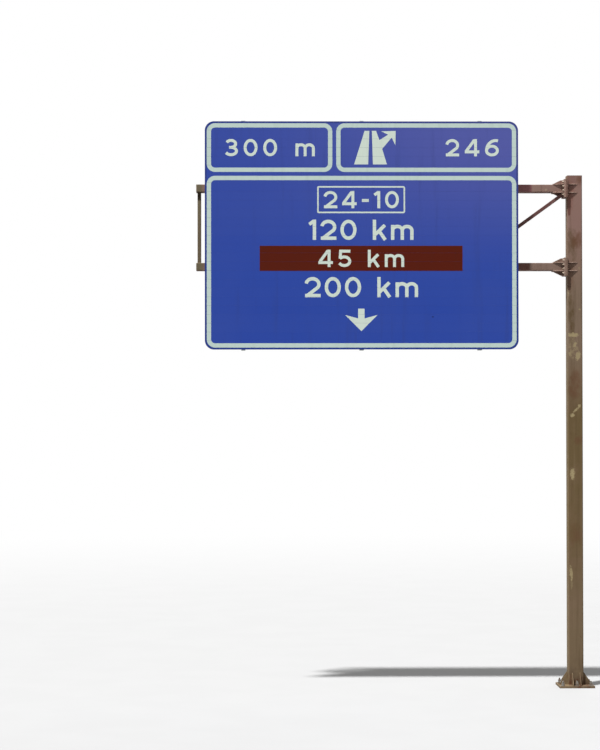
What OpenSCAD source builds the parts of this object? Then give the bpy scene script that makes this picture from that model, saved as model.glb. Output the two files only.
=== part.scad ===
// Cantilever sign gantry: a square column, a lattice arm of two box chords and a sign board of
// interlocking aluminium slats. Z is up, the arm reaches to -X and the sign faces -Y. The origin
// is the centre of the underside of the base plate. All sizes are in millimetres.

/* [Column] */
// Outer width of the square column
column_width = 300; // [260:10:360]
// Wall of the column
column_wall = 12; // [8:1:18]
// Outer corner radius of the column
column_corner_r = 25; // [22:1:40]
// Height of the top of the column above the axis of the upper chord
column_rise = 260; // [200:10:600]
// Thickness of the plate that closes the column
cap_thickness = 10; // [6:1:20]

/* [Base] */
// Width of the square base plate
base_width = 700; // [640:10:1000]
// Thickness of the base plate
base_thickness = 40; // [25:1:60]
// Distance from the edge of the base plate to the axis of the outer anchor holes
anchor_edge = 70; // [50:5:90]
// Diameter of an anchor hole
anchor_hole_d = 42; // [26:1:60]
// Height of the gussets at the foot of the column
base_gusset_height = 250; // [120:10:400]
// Thickness of the gussets at the foot
base_gusset_thickness = 15; // [10:1:25]
// Distance of each foot gusset from the centre line of its side
base_gusset_offset = 75; // [50:5:90]

/* [Arm] */
// Height of the axis of the upper chord above the ground
upper_chord_z = 10000; // [8500:50:12000]
// Distance between the axes of the two chords
chord_spacing = 1575; // [1200:5:2000]
// Height of a chord
chord_height = 150; // [130:5:180]
// Depth of a chord, front to back
chord_depth = 300; // [220:10:320]
// Wall of a chord
chord_wall = 8; // [5:1:9]
// Outer corner radius of a chord
chord_corner_r = 10; // [10:1:16]
// Thickness of the plate that closes the tip of a chord
chord_cap_thickness = 8; // [5:1:15]
// Length of a chord past the outer edge of the sign
tip_overhang = 180; // [100:10:400]

/* [Lattice] */
// Width of the square tubes of the lattice
web_size = 70; // [50:5:80]
// Wall of the lattice tubes
web_wall = 4; // [3:0.5:6]
// Outer corner radius of the lattice tubes
web_corner_r = 8; // [7:1:12]
// Distance of the lattice tubes behind the face of the chords
web_setback = 45; // [25:5:60]
// Angle of the diagonals to the chords
diagonal_angle = 36; // [34:1:42]
// Distance from the axis of the column to the first node of the lattice
first_node = 75; // [0:5:100]
// Distance from the tip of the chords to the end posts
end_post_inset = 25; // [10:5:100]

/* [Flange joints] */
// Thickness of one flange
flange_thickness = 35; // [20:1:45]
// Distance that a flange stands out past each side of the column
flange_overhang = 75; // [65:1:100]
// Distance that a flange stands out above and below its chord
flange_lip = 105; // [90:5:120]
// Distance from the side edge of a flange to the axis of its bolt holes
flange_bolt_edge = 35; // [25:1:40]
// Distance between neighbouring bolt holes in a flange
flange_bolt_pitch = 85; // [70:1:90]
// Diameter of a bolt hole in a flange
flange_hole_d = 26; // [18:1:30]
// Length of the level gussets along the chords
arm_gusset_length = 215; // [120:5:300]
// Length of the stiffeners along the column
stiffener_length = 200; // [100:5:220]
// Thickness of the gussets and stiffeners
gusset_thickness = 15; // [10:1:18]

/* [Sign] */
// Width of the sign board
sign_width = 6250; // [5000:50:7000]
// Distance from the axis of the column to the near edge of the sign
sign_clear = 1170; // [800:10:1600]
// Distance from the axis of the upper chord down to the bottom of the sign
sign_drop = 3245; // [2600:5:3600]
// Radius of the corners of the sign
sign_corner_r = 185; // [100:5:250]
// Number of slats
slat_count = 26; // [22:1:30]
// Number of slats in the top panel
top_slats = 6; // [4:1:8]
// Height of one slat from joint to joint
slat_pitch = 175; // [150:5:200]
// Depth of a slat, front to back
slat_depth = 40; // [30:1:60]
// Thickness of the face and webs of a slat
slat_wall = 2.5; // [2:0.5:4]
// Length of the tongue that stands up behind the next slat
slat_tongue = 10; // [6:1:15]
// Height of the lips at the back of a slat
slat_lip = 14; // [8:1:25]
// Depth of the ribs behind the face
slat_rib = 12; // [8:1:20]
// Clearance between neighbouring slats
slat_gap = 0.3; // [0.2:0.1:0.8]

/* [Sign supports] */
// Distance from a side edge of the sign to the axis of the outer support
support_inset = 765; // [400:5:1200]
// Depth of the support section, front to back
support_depth = 160; // [120:5:200]
// Width of the support section
support_width = 82; // [64:1:100]
// Web of the support section
support_web = 5; // [4:0.5:9]
// Flange of the support section
support_flange = 7.4; // [5:0.1:12]
// Length of a support past the top and bottom edges of the sign
support_overhang = 15; // [5:1:60]
// Distance that a bracket holds a support off the chords
bracket_depth = 100; // [80:5:160]
// Width of a bracket
bracket_width = 100; // [82:2:140]
// Web of a bracket
bracket_web = 6; // [5:0.5:12]
// Flange of a bracket
bracket_flange = 10; // [6:1:16]
// Radius in the corners of the rolled sections
section_r = 9; // [5:1:12]

/* [Hidden] */
$fn = 48;

// Colours of the weathered paint, the galvanised sections and the sign face
paint = [0.48, 0.40, 0.36];
galvanised = [0.62, 0.64, 0.65];
sign_blue = [0.12, 0.20, 0.52];

// Ends that the triangular plates keep at their toes, and their distance from the flange edges
plate_toe = 5;
plate_margin = 25;
// Distance of the upright plates from the flange edges, and the level part of their outer edge
upright_margin = 5;
upright_nose = 45;
// Ends that the foot gussets keep at their toes, and their distance from the base plate's edge
base_gusset_toe = 12;
base_gusset_margin = 20;
// Room that a cutting shape has past the material it cuts
cut = 1;

// Heights
column_top = upper_chord_z + column_rise;
lower_chord_z = upper_chord_z - chord_spacing;
sign_bottom = upper_chord_z - sign_drop;
sign_height = slat_count * slat_pitch;

// Anchor holes lie on a grid of three rows without its centre
anchor_row = base_width / 2 - anchor_edge;

// Places along the arm, as distances from the axis of the column
column_face = column_width / 2;
arm_start = column_face + 2 * flange_thickness;
sign_far = sign_clear + sign_width;
arm_reach = sign_far + tip_overhang;
support_first = sign_clear + support_inset;
support_step = (sign_width - 2 * support_inset) / 2;

// Lattice: nodes follow each other at the run of one diagonal, and a short bay is left at the tip
panel = chord_spacing / tan(diagonal_angle);
end_post = arm_reach - end_post_inset - web_size / 2;
shortest_bay = 500;
panel_count = floor((end_post - first_node - shortest_bay) / panel);
web_plane = chord_depth / 2 - web_setback - web_size / 2;
clear_height = chord_spacing - chord_height;

// Flanges are as tall as their chord and lips, and as deep as the column and overhangs
flange_height = chord_height + 2 * flange_lip;
flange_depth = column_width + 2 * flange_overhang;
bolt_line = flange_depth / 2 - flange_bolt_edge;
plate_reach = flange_depth / 2 - plate_margin;

// Middle of the level plates, which lie on the top and bottom faces of the chord
plate_level = (chord_height + gusset_thickness) / 2;

// The sign stands off the chords by its brackets and supports
support_y = -(chord_depth / 2 + bracket_depth + support_depth / 2);
slat_back_y = support_y - support_depth / 2;

// Rectangle with round corners, centred
module rounded_rect(width, height, r) {
    square([width - 2 * r, height], center = true);
    square([width, height - 2 * r], center = true);
    for (x = [-1, 1], y = [-1, 1])
        translate([x * (width / 2 - r), y * (height / 2 - r)]) circle(r);
}

// Section of a rectangular tube
module tube_section(width, height, wall, r) {
    difference() {
        rounded_rect(width, height, r);
        rounded_rect(width - 2 * wall, height - 2 * wall, r - wall);
    }
}

// Rolled I section with its flanges at the front and back
module i_section(depth, width, web, flange, r) {
    difference() {
        square([width, depth], center = true);
        for (side = [-1, 1])
            translate([side * (web + width) / 2, 0]) rounded_rect(width, depth - 2 * flange, r);
    }
}

// Lays an outline drawn as depth and height along the arm, from one distance to a nearer one
module along_arm(far, near) {
    translate([-far, 0, 0]) rotate([90, 0, 90]) linear_extrude(far - near) children();
}

module base_plate() {
    color(paint) difference() {
        translate([-base_width / 2, -base_width / 2, 0]) cube([base_width, base_width, base_thickness]);
        for (x = [-1, 0, 1], y = [-1, 0, 1])
            if (x != 0 || y != 0)
                translate([x * anchor_row, y * anchor_row, -cut])
                    cylinder(h = base_thickness + 2 * cut, d = anchor_hole_d);
    }
}

// Two upright triangular plates on each side of the column's foot
module base_gussets() {
    reach = base_width / 2 - base_gusset_margin;
    color(paint)
        for (turn = [0 : 90 : 270], side = [-1, 1])
            rotate([0, 0, turn])
                translate([0, side * base_gusset_offset, base_thickness])
                    rotate([90, 0, 0])
                        linear_extrude(base_gusset_thickness, center = true)
                            polygon([
                                [column_face, 0],
                                [reach, 0],
                                [reach, base_gusset_toe],
                                [column_face + base_gusset_toe, base_gusset_height],
                                [column_face, base_gusset_height]
                            ]);
}

module column() {
    color(paint)
        translate([0, 0, base_thickness])
            linear_extrude(column_top - cap_thickness - base_thickness)
                tube_section(column_width, column_width, column_wall, column_corner_r);
}

module column_cap() {
    color(paint)
        translate([0, 0, column_top - cap_thickness])
            linear_extrude(cap_thickness)
                rounded_rect(column_width, column_width, column_corner_r);
}

// Flange plate with a line of four bolt holes near each side edge
module flange_plate(near, z) {
    color(paint) difference() {
        translate([-near - flange_thickness, -flange_depth / 2, z - flange_height / 2])
            cube([flange_thickness, flange_depth, flange_height]);
        for (side = [-1, 1], row = [-1.5 : 1 : 1.5])
            translate([-near + cut, side * bolt_line, z + row * flange_bolt_pitch])
                rotate([0, -90, 0])
                    cylinder(h = flange_thickness + 2 * cut, d = flange_hole_d);
    }
}

// Level plates that brace the overhanging parts of a flange on the front and back of the column
module column_stiffeners(z) {
    nose = column_corner_r / 2;
    color(paint)
        for (side = [-1, 1], level = [-plate_level, plate_level])
            translate([0, 0, z + level])
                linear_extrude(gusset_thickness, center = true)
                    difference() {
                        polygon([
                            [-column_face, side * (column_face - nose)],
                            [-column_face, side * plate_reach],
                            [-column_face + stiffener_length, side * (column_face + plate_toe)],
                            [-column_face + stiffener_length, side * (column_face - nose)]
                        ]);
                        rounded_rect(column_width, column_width, column_corner_r);
                    }
}

// Level plates on the top and bottom faces of a chord, and upright plates that stand on them
module arm_gussets(z) {
    toe = chord_depth / 2 + plate_toe;
    foot = plate_level + gusset_thickness / 2;
    tip = flange_height / 2 - upright_margin;
    upright_length = arm_gusset_length - plate_toe;
    color(paint)
        for (side = [-1, 1])
            translate([-arm_start, 0, z]) {
                translate([0, 0, side * plate_level])
                    linear_extrude(gusset_thickness, center = true)
                        polygon([
                            [0, -plate_reach],
                            [0, plate_reach],
                            [-arm_gusset_length, toe],
                            [-arm_gusset_length, -toe]
                        ]);
                rotate([90, 0, 0])
                    linear_extrude(gusset_thickness, center = true)
                        polygon([
                            [0, side * foot],
                            [0, side * tip],
                            [-upright_nose, side * tip],
                            [-upright_length, side * (foot + plate_toe)],
                            [-upright_length, side * foot]
                        ]);
            }
}

module chord(z) {
    color(paint)
        translate([0, 0, z])
            along_arm(arm_reach - chord_cap_thickness, arm_start)
                tube_section(chord_depth, chord_height, chord_wall, chord_corner_r);
}

module chord_end_caps() {
    color(paint)
        for (z = [lower_chord_z, upper_chord_z])
            translate([0, 0, z])
                along_arm(arm_reach, arm_reach - chord_cap_thickness)
                    rounded_rect(chord_depth, chord_height, chord_corner_r);
}

// Upright tube that stands between the chords
module post(distance, side) {
    color(paint)
        translate([-distance, side * web_plane, lower_chord_z + chord_height / 2])
            linear_extrude(clear_height)
                tube_section(web_size, web_size, web_wall, web_corner_r);
}

module verticals(side) {
    for (i = [1 : panel_count])
        post(first_node + i * panel, side);
}

// Slanting tubes from each upper node to the next lower one, cut to the chords. The first one is
// cut to the arm flange and to the level plate below the upper chord.
module diagonals(side) {
    slant = norm([panel, chord_spacing]);
    color(paint)
        for (i = [1 : panel_count])
            intersection() {
                translate([-first_node - i * panel, side * web_plane, lower_chord_z])
                    rotate([0, 90 - diagonal_angle, 0])
                        linear_extrude(slant)
                            tube_section(web_size, web_size, web_wall, web_corner_r);
                translate([-arm_reach, -chord_depth, lower_chord_z + chord_height / 2])
                    cube([
                        arm_reach - arm_start,
                        2 * chord_depth,
                        i == 1 ? clear_height - gusset_thickness : clear_height
                    ]);
            }
}

// Short pieces of section between the face of a chord and the supports
module brackets(z) {
    color(galvanised)
        for (i = [0 : 2])
            translate([
                -support_first - i * support_step,
                -(chord_depth + bracket_depth) / 2,
                z - bracket_height / 2
            ])
                linear_extrude(bracket_height)
                    i_section(bracket_depth, bracket_width, bracket_web, bracket_flange, section_r);
}

module sign_support(i) {
    color(galvanised)
        translate([-support_first - i * support_step, support_y, sign_bottom - support_overhang])
            linear_extrude(sign_height + 2 * support_overhang)
                i_section(support_depth, support_width, support_web, support_flange, section_r);
}

// Section of one slat, drawn as depth behind the face and height above the joint: a face, a web
// at the top with a tongue, a web above the bottom that leaves room for the tongue below, lips at
// the back that bear on the supports, and two T ribs behind the face
module slat_section() {
    top = slat_pitch - slat_gap;
    square([slat_wall, top]);
    translate([0, top - slat_wall]) square([slat_depth, slat_wall]);
    translate([0, slat_tongue]) square([slat_depth, slat_wall]);
    translate([slat_wall + slat_gap, top - slat_wall])
        square([slat_wall, slat_wall + slat_tongue]);
    translate([slat_depth - slat_wall, top - slat_lip]) square([slat_wall, slat_lip]);
    translate([slat_depth - slat_wall, slat_tongue]) square([slat_wall, slat_lip]);
    for (rib = [1, 2]) {
        rib_y = rib * slat_pitch / 3;
        translate([0, rib_y - slat_wall / 2]) square([slat_rib, slat_wall]);
        translate([slat_rib - slat_wall, rib_y - rib_head / 2]) square([slat_wall, rib_head]);
    }
}

// Slats from one count to another, cut to the round corners of the whole board
module slats(first, last) {
    color(sign_blue)
        for (i = [first : last])
            intersection() {
                translate([0, slat_back_y - slat_depth, sign_bottom + i * slat_pitch])
                    along_arm(sign_far, sign_clear)
                        slat_section();
                translate([
                    -(sign_clear + sign_far) / 2,
                    slat_back_y + cut,
                    sign_bottom + sign_height / 2
                ])
                    rotate([90, 0, 0])
                        linear_extrude(slat_depth + 2 * cut)
                            rounded_rect(sign_width, sign_height, sign_corner_r);
            }
}

bracket_height = chord_height;
rib_head = 10;
main_slats = slat_count - top_slats;
middle_first = floor(main_slats / 3);
upper_first = floor(2 * main_slats / 3);

base_plate();
base_gussets();
column();
column_cap();
flange_plate(column_face, upper_chord_z);  // upper_column_flange
flange_plate(column_face, lower_chord_z);  // lower_column_flange
column_stiffeners(upper_chord_z);  // upper_column_stiffeners
column_stiffeners(lower_chord_z);  // lower_column_stiffeners
flange_plate(column_face + flange_thickness, upper_chord_z);  // upper_arm_flange
flange_plate(column_face + flange_thickness, lower_chord_z);  // lower_arm_flange
arm_gussets(upper_chord_z);  // upper_arm_gussets
arm_gussets(lower_chord_z);  // lower_arm_gussets
chord(upper_chord_z);  // upper_chord
chord(lower_chord_z);  // lower_chord
chord_end_caps();
verticals(-1);  // front_verticals
verticals(1);  // rear_verticals
for (side = [-1, 1]) post(end_post, side);  // end_posts
diagonals(-1);  // front_diagonals
diagonals(1);  // rear_diagonals
brackets(upper_chord_z);  // upper_brackets
brackets(lower_chord_z);  // lower_brackets
sign_support(0);  // right_support
sign_support(1);  // middle_support
sign_support(2);  // left_support
slats(main_slats, slat_count - 1);  // top_panel_slats
slats(upper_first, main_slats - 1);  // upper_slats
slats(middle_first, upper_first - 1);  // middle_slats
slats(0, middle_first - 1);  // lower_slats
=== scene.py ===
"""Looks of the cantilever sign gantry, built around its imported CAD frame.

Z is up, the sign faces -Y and the arm reaches to -X, in metres. The CAD nodes get their materials
here, and the pieces made here are the sign's films, the bolts, the anchor rods, the clamps that hold
the slats and the weld beads. Each piece has its origin at the frame's origin, so texture coordinates
are places on the gantry.
"""

import math
import random
from collections import namedtuple

import bmesh
import bpy
from mathutils import Matrix, Vector
from mathutils.geometry import delaunay_2d_cdt


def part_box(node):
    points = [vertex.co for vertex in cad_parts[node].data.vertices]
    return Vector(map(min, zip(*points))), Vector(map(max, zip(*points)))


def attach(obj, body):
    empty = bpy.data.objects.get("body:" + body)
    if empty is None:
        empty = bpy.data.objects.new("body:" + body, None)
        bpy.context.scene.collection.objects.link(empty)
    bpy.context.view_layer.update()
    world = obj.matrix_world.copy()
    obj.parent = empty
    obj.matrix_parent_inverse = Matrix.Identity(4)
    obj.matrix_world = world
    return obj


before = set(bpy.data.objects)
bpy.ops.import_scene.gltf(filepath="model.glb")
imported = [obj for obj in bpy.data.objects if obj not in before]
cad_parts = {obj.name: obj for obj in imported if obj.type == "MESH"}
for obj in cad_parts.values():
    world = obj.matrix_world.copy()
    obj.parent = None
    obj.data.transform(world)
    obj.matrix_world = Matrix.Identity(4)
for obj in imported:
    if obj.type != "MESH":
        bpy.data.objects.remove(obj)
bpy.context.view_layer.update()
rng = random.Random(11)

# Directions
RIGHT = Vector((1, 0, 0))
BACK = Vector((0, 1, 0))
UP = Vector((0, 0, 1))

# Colours are written as they look on a screen, in six hexadecimal digits
WHITE = "ffffff"

# The sign board, from the boxes of its slats
SLAT_COUNT = 26
SLAT_GAP = 0.0003
BOARD_CORNER = 0.185
board_left, board_face, board_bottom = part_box("lower_slats")[0]
board_right, board_back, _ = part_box("lower_slats")[1]
board_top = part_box("top_panel_slats")[1].z
board_width = board_right - board_left
board_height = board_top - board_bottom
slat_pitch = board_height / SLAT_COUNT

# Plates that brace the flanges: thickness, reach along X, distance of their outer faces from the
# chord's axis, and reach from the middle of the column to the front and back
STIFFENER = 0.015
STIFFENER_REACH = 0.200
PLATE_LEVEL = 0.090
PLATE_REACH = 0.200


def middle(node):
    """Centre of a CAD node's box."""
    low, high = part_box(node)
    return (low + high) / 2


def linear(colour):
    """Linear values of a screen colour."""
    def channel(value):
        return value / 12.92 if value <= 0.04045 else ((value + 0.055) / 1.055) ** 2.4
    return (*(channel(value / 255) for value in bytes.fromhex(colour)), 1.0)


def in_scene(name, data):
    """Makes an object and links it to the scene."""
    made = bpy.data.objects.new(name, data)
    bpy.context.scene.collection.objects.link(made)
    return made


def rectangle(left, top, right, bottom):
    return [(left, top), (right, top), (right, bottom), (left, bottom)]


# Materials

class Tree:
    """Short calls for the nodes of a material or the world."""

    def __init__(self, owner):
        owner.use_nodes = True
        self.nodes = owner.node_tree.nodes
        self.links = owner.node_tree.links

    def feed(self, value, socket):
        """Feeds a socket from another one, or sets it to a value or a colour."""
        if isinstance(value, bpy.types.NodeSocket):
            self.links.new(value, socket)
        else:
            socket.default_value = linear(value) if isinstance(value, str) else value

    def node(self, kind, inputs, **settings):
        """Makes a node and gives its outputs."""
        made = self.nodes.new("ShaderNode" + kind)
        for key, value in settings.items():
            setattr(made, key, value)
        for key, value in inputs.items():
            self.feed(value, made.inputs[key])
        return made.outputs

    def math(self, operation, *values):
        return self.node("Math", dict(enumerate(values)), operation=operation)[0]

    def chain(self, operation, first, *others):
        for other in others:
            first = self.math(operation, first, other)
        return first

    def plus(self, a, b):
        return self.math("ADD", a, b)

    def minus(self, a, b):
        return self.math("SUBTRACT", a, b)

    def times(self, *values):
        return self.chain("MULTIPLY", *values)

    def most(self, *values):
        return self.chain("MAXIMUM", *values)

    def ramp(self, value, low, high, start=0.0, end=1.0):
        """Smooth step from start to end as value goes from low to high."""
        inputs = {0: value, 1: low, 2: high, 3: start, 4: end}
        return self.node("MapRange", inputs, interpolation_type="SMOOTHSTEP")[0]

    def mix(self, factor, a, b):
        return self.node("Mix", {0: factor, 6: a, 7: b}, data_type="RGBA")[2]

    def seen_by_eye(self):
        """One for camera, glossy and transmission rays."""
        path = self.node("LightPath", {})
        return self.most(*(path["Is " + ray + " Ray"] for ray in ("Camera", "Glossy", "Transmission")))


class Look(Tree):
    """One material, whose colour is laid on in coats."""

    def __init__(self, name, colour=None):
        self.material = bpy.data.materials.new(name)
        super().__init__(self.material)
        self.shader = self.nodes["Principled BSDF"]
        self.place = self.node("TexCoord", {})["Object"]
        self.x, self.y, self.z = self.node("SeparateXYZ", {0: self.place})
        self.face = self.node("NewGeometry", {})["True Normal"]
        self.colour = colour

    def noise(self, scale, detail=4.0, roughness=0.5, stretch=(1, 1, 1), offset=(0, 0, 0)):
        moved = self.node("Mapping", {0: self.place, 1: offset, 3: stretch})[0]
        inputs = {"Vector": moved, "Scale": scale, "Detail": detail, "Roughness": roughness}
        return self.node("TexNoise", inputs)[0]

    def coat(self, colour, *masks):
        """Lays on a colour where all the masks let it through."""
        self.colour = self.mix(self.times(*masks), self.colour, colour)

    def mottle(self, colour, strength, limits, *noise, **placing):
        """Lays on a colour at some strength where a noise goes past its limits."""
        self.coat(colour, self.ramp(self.noise(*noise, **placing), *limits, 0, strength))

    def uneven(self, smooth, rough, *noise):
        """Roughness that wanders between two values."""
        return self.ramp(self.noise(*noise), 0.3, 0.7, smooth, rough)

    def edges(self, radius):
        """How near a point is to an edge, from 0 to 1."""
        rounded_off = self.node("Bevel", {"Radius": radius}, samples=4)[0]
        inputs = {0: rounded_off, 1: self.face}
        turned = self.node("VectorMath", inputs, operation="DOT_PRODUCT")["Value"]
        return self.ramp(turned, 0.995, 0.90)

    def relief(self, height, distance, strength):
        inputs = {"Height": height, "Distance": distance, "Strength": strength}
        self.feed(self.node("Bump", inputs)[0], self.shader.inputs["Normal"])

    def finish(self, roughness, metallic=0.0, specular=0.5):
        """Feeds the shader and gives the material."""
        self.feed(self.colour, self.shader.inputs["Base Color"])
        self.feed(roughness, self.shader.inputs["Roughness"])
        self.feed(metallic, self.shader.inputs["Metallic"])
        self.shader.inputs["Specular IOR Level"].default_value = specular
        return self.material


# Depths between which a coat on the front sets in: on the flat face alone, or also on its round
# corners and a little of the sides
FACE_ALONE = (-0.140, -0.149)
FACE_AND_CORNERS = (-0.09, -0.148)
# The column's paint by height: where a colour sets in, where it is full, its strength and the colour
LEVELS = [
    (7.6, 9.5, 1.0, "8b6d64"),
    (7.2, 5.3, 1.0, "685639"),
    (3.2, 1.4, 1.0, "73614a"),
    (9.95, 10.2, 0.40, "704c46"),
]
# Stains on the front of the column: colour, place across, height, half width, half height, strength
DIRT, RUST, JOINT_SHADE = "5c4a32", "64422e", "784234"
STAINS = [
    (DIRT, -0.075, 7.45, 0.045, 0.36, 0.95),
    (DIRT, -0.070, 5.90, 0.060, 0.40, 0.45),
    (DIRT, -0.070, 8.88, 0.060, 0.16, 0.40),
    (DIRT, -0.055, 8.86, 0.075, 0.24, 0.65),
    (RUST, 0.000, 8.92, 0.090, 0.13, 0.45),
    (RUST, 0.080, 8.97, 0.110, 0.10, 0.45),
    (RUST, -0.015, 6.07, 0.100, 0.20, 0.70),
    (RUST, 0.060, 4.93, 0.080, 0.07, 0.55),
    (RUST, -0.010, 3.04, 0.100, 0.15, 0.40),
    (RUST, 0.095, 10.16, 0.045, 0.06, 0.60),
    # The two patches at the flanges are painted shade: they darken and redden the column where the joints
    # shade it
    (JOINT_SHADE, -0.105, 9.82, 0.060, 0.22, 0.45),
    (RUST, -0.105, 8.25, 0.060, 0.22, 0.50),
]
# Painted shadow of the flanges, drawn on down the column as dark streaks below the shadow that the lamp
# casts: place across, height, half width, half height, the height below which it is strong, and its colour
FLANGE_SHADOW_STREAKS = [
    (-0.111, 9.64, 0.028, 0.19, 9.60, "643e36"),
    (-0.116, 8.09, 0.032, 0.14, 8.05, "483428"),
]
# Scraped pale patches: place across, height, half width, half height, lean in degrees and strength
SCRAPES = [
    (-0.040, 7.055, 0.100, 0.042, 0, 0.80),
    (-0.060, 6.88, 0.075, 0.16, 0, 0.12),
    (-0.005, 6.86, 0.026, 0.050, -20, 0.70),
    (-0.095, 6.68, 0.036, 0.060, 0, 0.50),
    (0.058, 6.63, 0.046, 0.080, -12, 0.75),
    (0.078, 5.63, 0.030, 0.028, 35, 0.90),
    (0.012, 5.55, 0.062, 0.022, 42, 0.80),
    (-0.060, 5.44, 0.036, 0.036, 20, 0.90),
    (-0.060, 4.27, 0.044, 0.105, 0, 0.95),
    (-0.096, 2.27, 0.030, 0.13, 3, 0.80),
    (-0.086, 2.06, 0.022, 0.09, 0, 0.25),
    (-0.140, 7.88, 0.012, 0.045, 0, 0.80),
    (0.092, 7.57, 0.020, 0.018, 0, 0.50),
    (0.084, 8.39, 0.012, 0.030, 0, 0.40),
]
# Flaking part of the column: place across, height, half width and half height
FLAKING = (-0.035, 6.80, 0.105, 0.23)
# Painted shade on the front of the column under each stiffener: the levels from its underside between
# which the shade sets in and those between which it ends, where it ends across, and its colour
PLATE_SHADE_LEVELS = [(-0.026, -0.0078), (0.004, 0.002)]
PLATE_SHADE_END = (0.055, -0.01)
PLATE_SHADE_COLOUR = "2e1a0e"


def patch(look, across, height, half_width, half_height, lean=0, blunt=False):
    """Squared distance from the middle of an oval on the front, one at its edge. A blunt oval is nearly
    a rectangle with round corners."""
    u, v = look.minus(look.x, across), look.minus(look.z, height)
    if lean:
        cosine, sine = math.cos(math.radians(lean)), math.sin(math.radians(lean))
        u, v = (
            look.plus(look.times(u, cosine), look.times(v, sine)),
            look.minus(look.times(v, cosine), look.times(u, sine)),
        )
    u, v = look.times(u, 1 / half_width), look.times(v, 1 / half_height)
    u, v = look.times(u, u), look.times(v, v)
    if blunt:
        u, v = look.times(u, u), look.times(v, v, v)
    return look.plus(u, v)


def scrape_mask(look, wobble):
    """The scraped patches of the column's front face, with ragged outlines."""
    patches = []
    for *oval, strength in SCRAPES:
        distance = look.plus(patch(look, *oval), wobble)
        patches.append(look.ramp(distance, 1.6, 0.5, 0, strength))
    return look.times(look.most(*patches), look.ramp(look.y, *FACE_ALONE))


def add_stains(look):
    """The stains of the column's front, each fading out over about its own size, and the painted flange
    shadows.
    """
    front = look.ramp(look.y, *FACE_AND_CORNERS)
    wobble = look.ramp(look.noise(9, 5, 0.7, stretch=(1, 1, 0.5)), 0.25, 0.75, -1.5, 1.5)
    for tint, *oval, strength in STAINS:
        distance = look.plus(patch(look, *oval), wobble)
        look.coat(tint, front, look.ramp(distance, 3.2, -0.6, 0, strength))
    # Painted shadows of the flanges, as dark streaks down the column
    for *oval, cast_shadow_end, tint in FLANGE_SHADOW_STREAKS:
        distance = look.plus(patch(look, *oval, blunt=True), look.times(wobble, 0.25))
        strength = look.ramp(look.z, cast_shadow_end, cast_shadow_end - 0.03, 0.25, 0.85)
        look.coat(tint, front, look.ramp(distance, 1.3, 0.7), strength)


def add_plate_shade(look):
    """Painted shade: a dark line on the column's front just under each of its stiffeners."""
    lines = []
    for level in ("upper", "lower"):
        centre = middle(level + "_column_flange").z
        for bottom in (centre + PLATE_LEVEL - STIFFENER, centre - PLATE_LEVEL):
            lines.append(look.times(*(look.ramp(look.z, bottom + a, bottom + b) for a, b in PLATE_SHADE_LEVELS)))
    front = look.times(look.ramp(look.y, *FACE_ALONE), look.ramp(look.x, *PLATE_SHADE_END))
    look.coat(PLATE_SHADE_COLOUR, look.most(*lines), front, 0.65)


def column_paint():
    """Brown weathered paint: rosy near the top, olive below, with runs, rusty patches and scrapes, and
    painted light and shade: the flanges' shadows, shade under the stiffeners and joints, and a lighter
    left side.
    """
    look = Look("column_paint", "7c6958")
    for low, high, strength, tint in LEVELS:
        look.coat(tint, look.ramp(look.z, low, high, 0, strength))
    look.mottle("806656", 0.30, (0.42, 0.68), 1.4, 5, 0.6)
    look.mottle("54422c", 0.34, (0.50, 0.70), 1.0, 4, 0.55, stretch=(16, 16, 0.55))
    light_runs = {"stretch": (19, 19, 0.4), "offset": (4, 7, 1)}
    look.mottle("8a765c", 0.22, (0.54, 0.70), 1.0, 3, 0.5, **light_runs)
    add_stains(look)
    add_plate_shade(look)
    splash = look.ramp(look.noise(6, 5, 0.6), 0.35, 0.65)
    look.coat("544436", look.ramp(look.z, 0.8, 0.05), splash, 0.7)
    damp = look.ramp(look.noise(11, 6, 0.7), 0.50, 0.62)
    look.coat("603a26", look.ramp(look.z, 0.45, 0.02), damp, 0.75)
    # Painted light: the column's left side and left corners, which face the sun, are made lighter
    painted_light_side = look.ramp(look.x, -0.138, -0.149)
    look.coat("8c7a5a", painted_light_side, 0.35)
    look.mottle("583c2a", 0.5, (0.64, 0.72), 9, 6, 0.65, stretch=(1, 1, 0.6))
    wobble = look.ramp(look.noise(32, 5, 0.7), 0.25, 0.75, -1.2, 1.2)
    flakes = look.ramp(look.noise(17, 4, 0.6), 0.50, 0.58, 0, 0.34)
    flaking = look.times(look.ramp(patch(look, *FLAKING), 1.4, 0.5), flakes)
    bare = look.ramp(look.noise(5, 5, 0.6, stretch=(1, 1, 0.7), offset=(9, 3, 5)), 0.725, 0.75, 0, 0.5)
    scrapes = look.most(scrape_mask(look, wobble), flaking, bare)
    look.coat("a69671", scrapes)
    worn = look.times(look.edges(0.010), look.ramp(look.noise(14, 4, 0.6), 0.42, 0.62))
    look.coat("8e7c62", worn, 0.45)
    look.relief(look.plus(look.noise(60, 6, 0.6), look.times(scrapes, -0.7)), 0.0025, 0.6)
    return look.finish(look.uneven(0.60, 0.85, 7, 4, 0.6), specular=0.15)


# Painted shadow of the sign on the arm, redder and darker, sharp edged and strongest on the front faces:
# where it begins along the lower chord, where its strongest colour ends on the front, and its colours on
# the upper and the lower chord. The slant is how much nearer to the column it begins on the upper chord.
ARM_PAINTED_SHADOW = (-0.90, -2.0, "926062", "704a42")
# On the lattice the painted shadow begins nearer the column
LATTICE_PAINTED_SHADOW = (-0.50, -1.0, "644240", "60423c")
PAINTED_SHADOW_SLANT = 0.05
# Places along the arm between which the painted shadow ends and the paint of the tip sets in
PAINTED_SHADOW_TIP = (-7.46, -7.30)
TIP = (-7.44, -7.52)
# Pale speck on the arm: place along it, height, half width and half height
ARM_SPECK = (-0.575, 9.972, 0.018, 0.018)
# Painted shadow of the upper chord on the tubes under it: the heights between which it sets in, and the
# heights and the places along the arm between which it ends
CHORD_SHADOW_START = (9.74, 9.77)
CHORD_SHADOW_TOP = (9.925, 9.915)
CHORD_SHADOW_END = (-0.55, -0.60)
WORN_PAINT = "b89a8c"


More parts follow.
